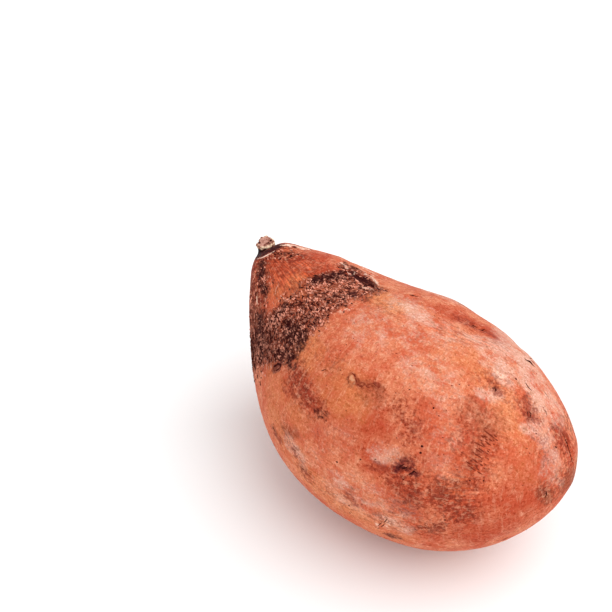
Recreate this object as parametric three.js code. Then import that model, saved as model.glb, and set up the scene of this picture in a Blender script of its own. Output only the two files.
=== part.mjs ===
// A sweet potato, as picked: one stout storage root that lies on its belly, with the stub of the
// vine at the crown and the scar of the root tail at the blunt end. Millimetres, +Z up, the long
// way of the root along X with the crown at -X, origin on the floor under the middle of its box.
import * as THREE from "three";
import { mergeVertices } from "three/addons/utils/BufferGeometryUtils.js";

// Line through the middle of the root: a short bend for the vine stub, then one long curve.
const CUT_FACE = new THREE.Vector3(-65.1, 13.3, 66.0);
const STUB_PULL = new THREE.Vector3(-64.1, 12.9, 63.4);
const CROWN = new THREE.Vector3(-63.4, 12.8, 63.0);
const NECK_PULL = new THREE.Vector3(-16.7, 8.5, 33.3);
const BELLY_PULL = new THREE.Vector3(4.5, -13.9, 37.8);
const TAIL = new THREE.Vector3(65.7, 13.2, 45.1);

// Half thickness at stations along that line, which start at the cut face: [station, radius].
const STUB_PROFILE = [
  [0.0, 0.0],
  [0.0, 2.6],
  [0.5, 3.2], // rim of the cut face
  [1.8, 2.6], // waist
  [3.0, 2.9],
  [3.4, 4.2],
];
const ROOT_PROFILE = [
  [3.4, 4.2],
  [5.2, 7.4], // crown
  [9.0, 10.8],
  [17.0, 17.0], // neck
  [28.0, 23.6],
  [42.0, 31.0],
  [57.5, 37.1],
  [73.0, 40.3], // belly, where the root is thickest
  [88.0, 40.0],
  [103.0, 38.0],
  [117.5, 32.2],
  [128.0, 24.3],
  [135.5, 15.6],
  [139.2, 8.6],
  [140.8, 5.0], // rim of the tail scar
  [140.4, 2.6],
  [139.4, 0.0],
];
const STUB_ROWS = 8;
const ROOT_ROWS = 50;
const SIDES = 76;

// Depth of the small flat spot on the belly that the root rests on.
const FLAT_DEPTH = 0.8;

// Slow waves round the root that keep its section from being a true circle. The turn is how far a
// wave winds round the root in a millimetre of its length.
const LOBES = [
  { count: 2, lift: 0.45, angle: 20, turn: 0.0 },
  { count: 3, lift: 0.35, angle: 75, turn: 0.5 },
  { count: 5, lift: 0.2, angle: 10, turn: -0.4 },
];

// Places on the skin are a station and an angle round the root, in degrees from the belly by way of
// the +Y side. Sizes are half widths along and around the root, and a lift below zero is a hollow.
const SWELLS = [
  { station: 11, angle: 155, along: 6, around: 7, lift: -1.3 }, // beside the crown
  { station: 9, angle: 172, along: 2.6, around: 3.4, lift: 0.4 }, // lump by the vine stub
  { station: 26, angle: 150, along: 7, around: 9, lift: 0.4 },
  { station: 32, angle: 262, along: 14, around: 11, lift: -1.3 }, // under the neck
  { station: 98, angle: 155, along: 15, around: 12, lift: -1.7 }, // on the back
  { station: 63, angle: 290, along: 14, around: 14, lift: 0.6 },
  { station: 88, angle: 303, along: 18, around: 14, lift: 0.6 },
  { station: 125, angle: 305, along: 12, around: 14, lift: -0.6 },
  { station: 120, angle: 100, along: 12, around: 14, lift: 0.7 },
  { station: 55, angle: 70, along: 16, around: 14, lift: -0.9 },
  { station: 90, angle: 45, along: 18, around: 12, lift: 0.8 },
];
const FURROWS = [
  { station: 47, angle: 168, along: 7, around: 2.6, lift: -0.9 }, // split skin behind the neck
  { station: 85, angle: 216, along: 6, around: 2.4, lift: -0.8 }, // groove on top
  { station: 76, angle: 219, along: 2.6, around: 3.0, lift: 0.7 }, // knob at its end
  { station: 110, angle: 236, along: 6, around: 2.4, lift: -0.5 },
  { station: 72, angle: 95, along: 8, around: 2.4, lift: -0.8 },
  { station: 105, angle: 60, along: 6, around: 2.6, lift: -0.7 },
];

// Eyes: shallow hollows where fine roots grew, each with a low brow on the side of the crown.
const EYES = [
  [48, 248],
  [66, 163],
  [68, 224],
  [95, 240],
  [98, 291],
  [101, 162],
  [116, 192],
  [123, 306],
  [127, 195],
  [134, 264],
  [26, 130],
  [34, 75],
  [44, 320],
  [52, 30],
  [62, 115],
  [78, 60],
  [84, 330],
  [92, 112],
  [104, 18],
  [112, 130],
  [118, 62],
];
const EYE = { along: 2.2, around: 3.8, lift: -1.1 };
const BROW = { ahead: 3.6, along: 1.8, around: 4.4, lift: 0.5 };

// Uneven rings of ribs: nicks in the torn rim of the stub, and folds that run out over the crown.
const RIBS = [
  { count: 3, angle: 40, station: 0.8, along: 1.3, lift: 0.3 },
  { count: 7, angle: 5, station: 0.8, along: 1.3, lift: 0.12 },
  { count: 4, angle: 30, station: 7, along: 4, lift: 0.22 },
  { count: 7, angle: 12, station: 9, along: 5, lift: 0.16 },
];

const SKIN_COLOUR = 0xd4764f;

const spine = new THREE.CurvePath();
spine.add(new THREE.QuadraticBezierCurve3(CUT_FACE, STUB_PULL, CROWN));
spine.add(new THREE.CubicBezierCurve3(CROWN, NECK_PULL, BELLY_PULL, TAIL));
const spineLength = spine.getLength();

function profileRows(profile, rows) {
  const points = profile.map(([station, radius]) => new THREE.Vector2(radius, station));
  return new THREE.SplineCurve(points).getSpacedPoints(rows);
}

// Height of one rounded bump or hollow at a place on the skin.
function bump(mark, station, angle, radius) {
  const turn = THREE.MathUtils.euclideanModulo(angle - mark.angle + 180, 360) - 180;
  const along = (station - mark.station) / mark.along;
  const around = (radius * THREE.MathUtils.degToRad(turn)) / mark.around;
  return mark.lift * Math.exp(-along * along - around * around);
}

// Height of a ring of ribs that fades out along the root.
function ribs(ring, station, angle) {
  const along = (station - ring.station) / ring.along;
  const wave = Math.cos(ring.count * THREE.MathUtils.degToRad(angle - ring.angle));
  return ring.lift * wave * Math.exp(-along * along);
}

function lobe(wave, station, angle) {
  const share = THREE.MathUtils.clamp(station / spineLength, 0, 1);
  const turned = angle - wave.angle - wave.turn * station;
  const fade = Math.sin(Math.PI * share);
  return wave.lift * fade * Math.cos(wave.count * THREE.MathUtils.degToRad(turned));
}

const eyeMarks = EYES.flatMap(([station, angle]) => [
  { ...EYE, station, angle },
  { ...BROW, station: station - BROW.ahead, angle },
]);
const marks = [...SWELLS, ...FURROWS, ...eyeMarks];

// How far the skin stands out from the plain turned shape.
function relief(station, angle, radius) {
  const heights = [
    ...RIBS.map((ring) => ribs(ring, station, angle)),
    ...LOBES.map((wave) => lobe(wave, station, angle)),
    ...marks.map((mark) => bump(mark, station, angle, radius)),
  ];
  return heights.reduce((sum, height) => sum + height);
}

// A straight turned root with its relief, bent along the spine.
function bentRoot() {
  const stubRows = profileRows(STUB_PROFILE, STUB_ROWS);
  const rootRows = profileRows(ROOT_PROFILE, ROOT_ROWS);
  const root = new THREE.LatheGeometry([...stubRows, ...rootRows.slice(1)], SIDES);
  const position = root.getAttribute("position");
  for (let i = 0; i < position.count; i++) {
    const straight = new THREE.Vector3().fromBufferAttribute(position, i);
    const station = straight.y;
    const radius = Math.hypot(straight.x, straight.z);
    const angle = THREE.MathUtils.radToDeg(Math.atan2(straight.x, straight.z));
    const swelling = 1 + relief(station, angle, radius) / Math.max(radius, 1);
    const share = THREE.MathUtils.clamp(station / spineLength, 0, 1);
    const tangent = spine.getTangentAt(share);
    const side = new THREE.Vector3(0, 1, 0).projectOnPlane(tangent).normalize();
    const down = new THREE.Vector3().crossVectors(side, tangent);
    const bent = spine.getPointAt(share);
    bent.addScaledVector(side, straight.x * swelling);
    bent.addScaledVector(down, straight.z * swelling);
    position.setXYZ(i, bent.x, bent.y, bent.z);
  }
  root.deleteAttribute("normal");
  root.deleteAttribute("uv");
  return mergeVertices(root, 1e-3);
}

// Flattens the lowest part of the belly, and puts the origin under the middle of the root.
function layOnBelly(root) {
  const position = root.getAttribute("position");
  root.computeBoundingBox();
  const floor = root.boundingBox.min.z + FLAT_DEPTH;
  for (let i = 0; i < position.count; i++) {
    position.setZ(i, Math.max(position.getZ(i), floor));
  }
  root.computeBoundingBox();
  const middle = root.boundingBox.getCenter(new THREE.Vector3());
  return root.translate(-middle.x, -middle.y, -floor);
}

const skin = new THREE.MeshStandardMaterial({ color: SKIN_COLOUR, roughness: 0.55, metalness: 0 });
const root = new THREE.Mesh(layOnBelly(bentRoot()), skin);
root.name = "sweet_potato";
const sweetPotato = new THREE.Group();
sweetPotato.add(root);
export default sweetPotato;
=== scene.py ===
import math
import random

import bmesh
import bpy
import numpy as np
from mathutils import Matrix, Vector, noise
from mathutils.bvhtree import BVHTree


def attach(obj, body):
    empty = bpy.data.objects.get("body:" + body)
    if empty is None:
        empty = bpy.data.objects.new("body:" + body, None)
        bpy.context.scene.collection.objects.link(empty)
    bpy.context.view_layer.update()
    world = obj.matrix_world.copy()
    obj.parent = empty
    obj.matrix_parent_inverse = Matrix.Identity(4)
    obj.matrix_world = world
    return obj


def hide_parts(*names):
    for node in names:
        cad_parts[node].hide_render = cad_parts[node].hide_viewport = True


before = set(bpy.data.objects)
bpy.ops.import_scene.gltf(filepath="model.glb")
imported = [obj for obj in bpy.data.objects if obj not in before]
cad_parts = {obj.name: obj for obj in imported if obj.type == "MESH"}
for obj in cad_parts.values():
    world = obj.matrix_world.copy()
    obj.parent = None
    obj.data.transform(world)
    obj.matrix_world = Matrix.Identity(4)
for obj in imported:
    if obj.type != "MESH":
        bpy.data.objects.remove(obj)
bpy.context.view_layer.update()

NODE = "sweet_potato"
MM = 0.001

# View of the photograph, whose pixels place the marks on the side of the root that it shows.
PICTURE_SIDE = 612
AZIMUTH = math.radians(40)
ELEVATION = math.radians(42)
LENS = 85
SENSOR = 36
NEAREST_SEEN = 0.01
PIXEL = 0.33 * MM
LOOK_AT = Vector((11.2, 0.4, 39.5)) * MM
LOOK_PIXEL = (413, 418)

# Lights, each by how far it lies to the right, up and towards the camera, its spread in degrees and
# its strength. Then the light from all round, and the floor.
LIGHTS = {
    "key_light": ((0.6, 0.9, 0.25), 70, 2.2),
    "fill_light": ((-0.7, 0.1, 1.0), 90, 0.6),
}
SKY_STRENGTH = 0.64
FLOOR_HALF = 6.0
FLOOR_GREY = 0.92
FLOOR_ROUGHNESS = 0.9

# Line through the middle of the root, from the crown to the tail, as the pull points of a curve.
SPINE = [
    Vector((-63.4, 12.8, 63.0)) * MM,
    Vector((-16.7, 8.5, 33.3)) * MM,
    Vector((4.5, -13.9, 37.8)) * MM,
    Vector((65.7, 13.2, 45.1)) * MM,
]
SPINE_STEPS = 240

# Radius that the fanned coordinates give the root all along, and the thinnest place they allow for.
FAN_RADIUS = 24 * MM
FAN_THINNEST = 0.1 * MM

# Middle of the cut face of the vine stub, and how the top of the stub leans.
CUT_FACE = Vector((-65.1, 13.3, 66.0)) * MM
STUB_LEAN = 0.6 * MM
STUB_TILT = math.radians(20)
STUB_SPREAD = 1.1

# Ends of the parts of the stub and of the collar under it, on which the stub's shadow is painted black,
# in millimetres, each with the width of its soft edge.
STUB_REACH = (6.0, 2.0)
STUB_WAIST = (1.5, 0.4)
COLLAR_TOP = (1.5, 0.5)
COLLAR_FOOT = (4.6, 1.2)
FACE_DEPTH = (0.7, 0.3)
FACE_RADIUS = (2.7, 0.5)

# Torn rim of the cut face. Its lumps are counted over the radius of the ring.
RIM_DEPTH = 0.8 * MM
RIM_LIFT = 0.5 * MM
RIM_THICKNESS = 0.3 * MM
RIM_STEPS = 48
RIM_INSET = 0.5
RIM_UNEVENNESS = 0.5
RIM_THICKNESS_LUMPS = 2.4
RIM_LIFT_LUMPS = 3.1

# Making of the fine skin: corners this near are one, and faces this flat and square become quads.
MERGE_REACH = 1e-6
FLAT_ANGLE = math.radians(40)
SQUARE_ANGLE = math.radians(80)
SKIN_LEVELS = 2

# Small relief of the skin in millimetres, how many of its lumps there are to a millimetre, and the
# fall, step and number of the octaves of the stub's. The skin stays flat below the top of the flat spot.
STUB_ROUGHNESS = 0.3
STUB_LUMPS = 0.9
STUB_FRACTAL = (0.6, 2.0, 3)
FACE_SINK = 0.3
COLLAR_SINK = 0.2
SKIN_WAVE = 0.06
SKIN_WAVE_LUMPS = 0.35
FLAT_SPOT = 0.3 * MM

# Sway of the edges of patches: its seed, then the size and the reach of its bends in millimetres. A
# patch narrower than the full width sways less.
SWAY_SEED = 3
SWAYS = [(5, 1.3), (1.7, 0.6)]
FULL_SWAY_WIDTH = 4

# Shares of a patch's half width and soft edge that its mask is made of.
CORE_SHARE = 0.4
EDGE_SHARE = 1.3

# Strewn crumbs and specks, how far chance turns them, and the size of the chips that make them ragged.
# None lies lower than the floor gap, where the root touches the floor.
FLOOR_GAP = 0.5 * MM
CRUMB_SIZES = {
    "Seed": 7,
    "Distance": 0.5 * MM,
    "Density": 2.6e6,
    "Smallest": 0.16 * MM,
    "Widest": 0.36 * MM,
    "Longest": 0.9 * MM,
    "Thickness": 0.18 * MM,
    "Raggedness": 0.6 * MM,
    "Floor Gap": FLOOR_GAP,
}
SPECK_SIZES = {
    "Seed": 3,
    "Distance": 1.5 * MM,
    "Density": 3.0e4,
    "Smallest": 0.08 * MM,
    "Widest": 0.22 * MM,
    "Longest": 0.4 * MM,
    "Thickness": 0.05 * MM,
    "Raggedness": 0.1 * MM,
    "Floor Gap": FLOOR_GAP,
}
CRUMB_TURN = 0.6
CHIP_SIZE = 0.35 * MM

# Tone of a crumb: how far chance moves it, the size of the clouds that it follows in millimetres,
# where they begin and are full, and how much of it the painted shade takes.
TONE_CHANCE = 0.3
TONE_CLOUD = 1.8
TONE_LIMITS = (0.4, 0.6)
TONE_SHADE = 0.85

# Strands. Each swells and thins as a half wave does, from its start over the share given, with lumps
# in its thickness and its tone.
STRAND_SIZES = {"Sides": 8}
STRAND_STEPS = 5
STRAND_START = 0.08
STRAND_SWELL = 0.84
STRAND_UNEVENNESS = 0.5
STRAND_LUMP = 0.9 * MM
STRAND_TONE_LUMP = 0.7 * MM

# How deep a strand lies, as a share of its half width.
CRACK_SINK = 1.2
DASH_SINK = 1.0
PEEL_SINK = 0.2

# Pits are this flat.
PIT_SIZES = {"Thickness": 0.3}

# Rim of the eye under the left end of the scurf, as a run of pixels.
EYE_RIM = [
    (273, 369.4), (274.2, 366.2), (278, 364), (281, 364.8),
    (280.2, 367.6), (277, 370.2), (273.4, 370.4),
]

# Patches of colour on the skin. Each has a half width and a soft edge in millimetres, a strength, and
# a run of pixels of the photograph.
PHOTO_PATCHES = {
    "brick": [
        (7, 6, 1, (264, 262), (285, 275), (305, 262)),
        (4, 7, 0.6, (300, 345), (310, 375), (325, 400)),
        (4, 6, 0.5, (385, 415), (415, 425)),
        (4, 5, 0.6, (472, 420), (487, 450), (472, 470)),
        (7, 8, 0.45, (275, 300), (285, 350), (280, 395)),
        (3, 4, 1, (262, 262), (264, 300)),
        (5, 5, 1, (266, 285), (290, 281), (312, 272)),
        (3, 4, 0.9, (300, 266), (325, 272), (350, 278)),
        (5, 6, 0.6, (275, 375), (300, 400)),
        (6, 7, 0.75, (335, 395), (372, 420)),
        (5, 7, 0.55, (300, 402), (330, 425)),
        (2.5, 5, 0.5, (418, 455), (428, 470)),
        (4, 6, 0.6, (438, 492), (460, 505), (425, 530)),
        (7, 9, 0.75, (480, 530), (520, 505), (545, 480)),
        (2.5, 3, 0.9, (440, 310), (470, 322), (497, 337)),
        (2, 4, 0.8, (560, 430), (568, 448), (572, 465)),
        (3, 5, 0.6, (275, 400), (285, 440)),
        (2, 4, 0.35, (310, 490), (345, 520), (390, 541), (450, 549)),
        (1.5, 3, 0.8, (368, 464), (398, 469)),
        (3, 5, 0.8, (405, 490), (412, 510)),
        (2, 3.5, 0.75, (398, 475), (416, 482)),
    ],
    "amber": [
        (3, 4, 0.45, (503, 398), (508, 428)),
        (2, 4, 0.9, (378, 296), (396, 306)),
        (2, 3.5, 0.7, (296, 281), (306, 288)),
        (1.5, 3, 0.5, (272, 292), (288, 298)),
        (4, 6, 0.6, (335, 385), (352, 400)),
        (3, 4, 0.7, (302, 345), (312, 358)),
        (2.5, 4, 0.6, (272, 375), (280, 395)),
        (3, 6, 0.25, (525, 440), (530, 475)),
        (4, 7, 0.5, (450, 360), (490, 375)),
        (4, 6, 0.5, (275, 420), (300, 465), (335, 505)),
        (4, 5, 0.45, (335, 502), (365, 520), (400, 534)),
        (4, 6, 0.4, (270, 385), (295, 415)),
    ],
    "blush_and_sheen": [
        # The first eight rows paint the pale sheen on the upper right shoulder: a painted highlight. The
        # other rows are pale pink skin.
        (3, 3.5, 1, (497, 347), (512, 350), (522, 360)),
        (2, 4, 0.7, (505, 340), (535, 370), (556, 415)),
        (2, 3.5, 0.7, (500, 362), (518, 372)),
        (1.5, 3, 0.8, (476, 339), (488, 346)),
        (2, 3, 0.6, (485, 345), (492, 360)),
        (1.5, 2.5, 0.9, (500, 374), (506, 379)),
        (1.6, 3.5, 0.9, (524, 372), (532, 388), (540, 405)),
        (1.8, 4, 0.65, (541, 425), (548, 450), (552, 470)),
        (1, 2, 0.8, (482, 393), (496, 396)),
        (0.5, 1.4, 0.85, (523, 427), (527, 431)),
        (2.5, 4, 0.7, (400, 302), (418, 312)),
        (1, 2.5, 0.7, (288, 440), (302, 462)),
        (3, 5, 0.22, (440, 420), (448, 470)),
        (1, 2, 0.9, (424, 319), (434, 325)),
        (3, 6, 0.35, (420, 370), (445, 385)),
        (6, 7, 0.3, (372, 325), (405, 325), (440, 335)),
        (5, 6, 0.36, (345, 490), (370, 505), (392, 508)),
        (0.8, 2, 0.6, (288, 445), (300, 460)),
        (1.5, 2.5, 0.65, (378, 452), (394, 455)),
        (2, 3.5, 0.55, (382, 515), (404, 528)),
        (3, 5, 0.2, (310, 450), (340, 440)),
        (0.6, 2, 0.5, (555, 472), (562, 482)),
    ],
    "umber_and_shade": [
        (0.8, 1.2, 0.8, (356, 383), (368, 385), (379, 388)),
        (0.1, 0.7, 0.6, (525, 429.5)),
        (0.3, 0.5, 1, (349, 386), (348, 379), (350, 373.5), (354, 374), (356, 380), (355, 385), (350, 387)),
        (1.5, 3, 0.5, (366, 393), (376, 400)),
        (3, 4, 0.6, (474, 414), (492, 424)),
        (0.8, 2.5, 0.55, (489, 429), (477, 450), (466, 470)),
        (0.9, 2.2, 0.5, (284, 429), (296, 433)),
        (0.6, 1.5, 0.45, (351, 489)),
        (1.4, 2.5, 0.35, (418, 531), (438, 527)),
        (1.4, 3, 0.6, (436, 492), (452, 488), (462, 478)),
        (1.2, 2, 0.7, (541, 490), (550, 500)),
        # Painted shade along the left edge.
        (2, 3.5, 0.65, (257, 268), (258, 300), (262, 322)),
        (2.5, 4, 0.7, (296, 296), (318, 316)),
        (1, 3, 0.5, (402, 490), (414, 500)),
    ],
    "ribbed": [
        (3.5, 4, 0.65, (259, 264), (274, 256), (300, 257)),
        (6, 5, 0.75, (268, 272), (300, 278)),
        (3, 4, 0.6, (268, 290), (296, 295)),
        (4, 2.5, 0.3, (497, 436), (470, 468)),
        (2, 4, 0.5, (450, 485), (470, 490)),
        (2, 4, 0.4, (440, 330), (500, 345)),
    ],
    "weather": [
        (2.5, 3, 1, (258, 262), (272, 254), (298, 256)),
        (5, 4, 0.5, (272, 268), (300, 275)),
        (3.5, 3.5, 1, (258, 262), (260, 300), (257, 318)),
        (2, 3, 0.7, (305, 262), (335, 268)),
        (2, 3, 0.7, (330, 268), (370, 280)),
        (1.8, 3, 0.65, (284, 428), (292, 446), (302, 465)),
        (2, 3, 0.8, (380, 518), (392, 524)),
        (2.5, 4, 0.8, (405, 470), (412, 495)),
        (3, 4, 0.8, (438, 490), (462, 512), (430, 528)),
        (2, 3, 0.8, (556, 432), (570, 460), (560, 480)),
        (1.5, 2.5, 0.8, (541, 488), (552, 500)),
        (3, 3.5, 0.8, (296, 372), (308, 402)),
        (2, 4, 0.4, (400, 408), (414, 430)),
        (3, 4, 0.6, (490, 380), (532, 415)),
        (4, 5, 0.5, (330, 495), (360, 510), (395, 515)),
        (3, 4, 0.6, (460, 440), (480, 470)),
        (2, 3, 0.5, (310, 345), (335, 365)),
        (2, 3, 0.5, (372, 300), (400, 312)),
    ],
    "painted_shade": [
        # Painted shade: darker scurf on the left flank and near the stub, where shade falls.
        (4, 4, 0.6, (258, 322), (262, 340), (272, 350)),
        (2.5, 3, 0.5, (286, 325), (298, 336), (290, 352)),
        (1, 1.5, 0.7, (318, 279), (338, 275)),
        (1, 1.5, 0.7, (268, 250), (258, 256)),
    ],
    "scurf": [
        (3.6, 3.6, 1, (366, 288), (345, 292), (326, 303)),
        (5.5, 4, 1, (326, 300), (306, 318), (290, 334)),
        (6.5, 4.5, 1, (290, 318), (272, 335), (258, 345)),
        (2.5, 3, 1, (290, 347), (270, 352)),
        (2.6, 2.5, 1, (312, 286), (332, 279), (352, 280)),
        (1.4, 2.2, 0.9, (345, 266), (362, 277)),
        (1.2, 2.5, 0.5, (266, 256), (292, 254)),
        (1.4, 2.5, 0.6, (261, 264), (264, 290)),
    ],
    "rust_and_shade": [
        (1.4, 3, 1, (297, 374), (303, 388), (307, 398)),
        (0.4, 0.8, 1, (357, 382.5), (362, 384), (369, 386)),
        (0.3, 0.8, 0.8, (374, 383), (379, 387)),
        (0.8, 2.5, 0.7, (286, 387), (296, 392)),
        (0.9, 2, 1, (310, 398), (320, 404)),
        (1.2, 2.6, 0.65, (302, 468), (310, 478)),
        (0.8, 2.4, 0.4, (292, 447), (300, 462)),
        (0.5, 1.5, 0.9, (372, 465), (396, 469.5)),
        (2, 4, 0.5, (398, 474), (412, 492), (406, 508)),
        (2, 4, 0.75, (440, 495), (452, 498), (464, 512)),
        (1, 3.5, 0.35, (455, 480), (478, 486)),
        (1.2, 2.5, 0.3, (420, 530), (436, 526)),
        (0.9, 2.2, 0.8, (462, 320), (474, 326)),
        (0.8, 1.8, 0.7, (485, 331), (494, 337)),
        (0.7, 1.5, 0.9, (493, 381), (497, 391)),
        (1.1, 2.2, 1, (527, 402), (532, 416)),
        (1, 3, 0.38, (398, 408), (412, 420), (408, 436)),
        (0.8, 2.5, 0.9, (557, 432), (566, 438)),
        (0.6, 1.5, 0.8, (276, 436), (280, 440)),
        (0.7, 1.8, 0.8, (350, 498), (353, 502)),
        (1, 4, 0.3, (540, 440), (548, 460)),
        (1, 2.5, 0.8, (272, 256), (296, 258)),
        # Painted shade along the left edge.
        (1.8, 3, 0.9, (257, 262), (257, 300)),
    ],
    "plum_and_shade": [
        (1.9, 0.8, 1, (354.5, 274.5), (362, 279.5), (370, 284.5)),
        (0.8, 1.1, 0.85, (397, 468), (404, 464), (410, 461)),
        (0.9, 1.6, 0.6, (350, 291), (357, 295)),
        (0.4, 0.8, 0.9, (409, 474), (412, 471.5), (417, 474)),
        # Painted shadow in the groove under the stub.
        (1, 0.8, 1, (258, 255.5), (264, 253.3), (271, 250.3), (278, 247)),
        (0.8, 1.8, 0.8, (388, 535), (397, 537)),
        (0.5, 0.5, 1, *EYE_RIM),
        (0.9, 0.8, 1, (275, 368.6), (279, 366)),
    ],
    "soot_and_shade": [
        (0.9, 2.2, 1, (316, 280), (330, 277), (342, 274)),
        (1.9, 0.7, 1, (354, 274), (362, 279.5), (370, 284.5)),
        (0.5, 0.6, 1, (370, 284), (378, 288.5)),
        (0.6, 2, 0.6, (349, 293), (366, 299)),
        (1.4, 3, 1, (287, 329), (300, 338)),
        # Painted shade along the left edge.
        (1.4, 3.5, 0.95, (260, 322), (260, 350)),
        (1, 2.6, 0.9, (275, 318), (284, 310)),
        (1, 2.6, 0.9, (278, 352), (292, 360)),
        (0.4, 1.2, 0.8, (284, 362), (294, 367)),
        # Painted shade along the left edge.
        (0.7, 1.6, 0.8, (261, 264), (262, 278), (264, 290)),
        (0.3, 0.8, 0.8, (399, 468.5), (407, 469)),
        (0.2, 1.4, 0.5, (390, 536), (395, 537)),
        # Painted shadow in the groove under the stub.
        (1.6, 0.8, 1, (257, 255), (264, 253), (271, 250), (277, 247), (283, 245.3)),
        (0.6, 1.6, 0.45, (273, 427), (275, 431)),
        (0.7, 1.8, 0.55, (319, 412), (325, 417)),
        (0.3, 1, 0.3, (528, 412), (531, 418)),
        (0.2, 0.8, 0.8, (495, 389)),
        (0.1, 0.6, 0.7, (471, 324.5), (473, 326)),
        (0.5, 2, 0.7, (300, 338), (302, 350)),
    ],
    "pale": [
        (0.3, 0.9, 0.9, (283, 245.5), (297, 246.5), (306, 249)),
        (0.3, 0.5, 0.65, (360, 269.5), (370, 276), (378, 284)),
        (0.3, 0.6, 0.6, (362, 287), (372, 290.5)),
        (0.15, 0.5, 0.7, (352, 262), (365, 268), (378, 276)),
        (0.3, 0.6, 0.7, (341, 262.5), (347, 268)),
        (0.15, 0.4, 0.9, (256.5, 297), (257, 303)),
        (0.4, 1.2, 0.6, (500, 374), (504, 377)),
        (0.3, 0.6, 0.6, (376, 524), (381, 529)),
        (0.3, 0.6, 0.6, (385, 527), (390, 523.5)),
        (0.1, 0.4, 0.6, (271.2, 366.5), (271.6, 369.5)),
        (0.2, 1, 0.5, (340, 312), (352, 309)),
    ],
    "cork": [
        (0.35, 0.3, 1, (352, 378), (353.5, 382.5)),
        (0.2, 0.4, 0.5, (543, 491), (543.5, 497)),
        (0.2, 0.4, 0.5, (549.5, 490), (550, 498)),
    ],
}

# Patches on the sides that the photograph doesn't show. Their runs give a station along the root in
# millimetres and an angle round it in degrees, from the belly by way of the back.
HIDDEN_PATCHES = {
    "brick": [
        (6, 8, 0.8, (20, 20), (30, 60)),
        (10, 12, 0.7, (60, 350), (90, 10)),
        (6, 8, 0.8, (110, 50), (125, 80)),
    ],
    "amber": [
        (4, 6, 0.8, (22, 100), (34, 115)),
        (4, 6, 0.7, (90, 85), (100, 105)),
        (4, 6, 0.6, (100, 330), (110, 345)),
    ],
    "blush_and_sheen": [
        (3, 6, 0.8, (56, 120), (66, 135)),
        (3, 6, 0.8, (108, 140), (118, 125)),
        (3, 5, 0.7, (64, 60), (72, 50)),
    ],
    "umber_and_shade": [
        # Painted shade, going on round the left edge.
        (3, 4, 0.9, (6, 270), (20, 277)),
        (0.8, 3.5, 0.8, (68, 96), (74, 92), (83, 99)),
        (2, 4, 0.7, (48, 20), (56, 40)),
        (1.2, 2.5, 0.8, (102, 58), (108, 62)),
        (3, 2.5, 0.9, (135.5, 90), (136, 0), (135.5, 270)),
    ],
    "ribbed": [
        (3, 5, 0.8, (96, 70), (104, 85)),
    ],
    "weather": [
        (3, 4, 1, (4, 0), (5, 90), (5, 150)),
        (4, 5, 1, (5, 268), (24, 280)),
        (4, 5, 0.9, (134, 30), (135, 90), (134, 150)),
        (4, 6, 0.7, (60, 75), (80, 100)),
        (4, 6, 0.7, (44, 30), (60, 45)),
        (4, 6, 0.8, (100, 60), (110, 85)),
    ],
    "painted_shade": [
        # Painted shade over the scurf on this side too.
        (4, 4, 0.8, (27, 276), (28, 290), (29, 305)),
    ],
    "scurf": [
        (4.5, 4, 1, (27, 274), (28, 290), (29, 305)),
        (4, 5, 0.9, (112, 75), (106, 92)),
        (1.5, 3, 0.5, (9, 270), (19, 277)),
    ],
    "rust_and_shade": [
        # Painted shade, going on round the left edge.
        (2, 4, 0.8, (8, 272), (18, 279)),
        (2.5, 6, 0.8, (30, 60), (46, 80)),
        (3, 6, 0.8, (84, 55), (96, 40)),
        (2, 5, 0.8, (74, 130), (82, 118)),
        (2.5, 5, 0.8, (120, 100), (126, 70)),
        (3, 6, 0.7, (60, 340), (80, 350)),
    ],
    "plum_and_shade": [
        (1.2, 2, 0.8, (86, 62), (92, 70)),
    ],
    "soot_and_shade": [
        (1.5, 3, 0.9, (27, 288), (29, 300)),
        (0.3, 2.4, 0.6, (71, 93), (76, 94)),
        (1.2, 3, 0.9, (110, 80), (107, 88)),
        (0.6, 2.2, 0.65, (52, 40), (58, 48)),
    ],
    "pale": [
        (0.6, 2, 0.6, (64, 84), (70, 80)),
        (1, 2, 0.7, (94, 20), (100, 24)),
    ],
    "cork": [
        (0.5, 0.8, 0.6, (136, 60), (136.5, 120)),
    ],
}

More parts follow.
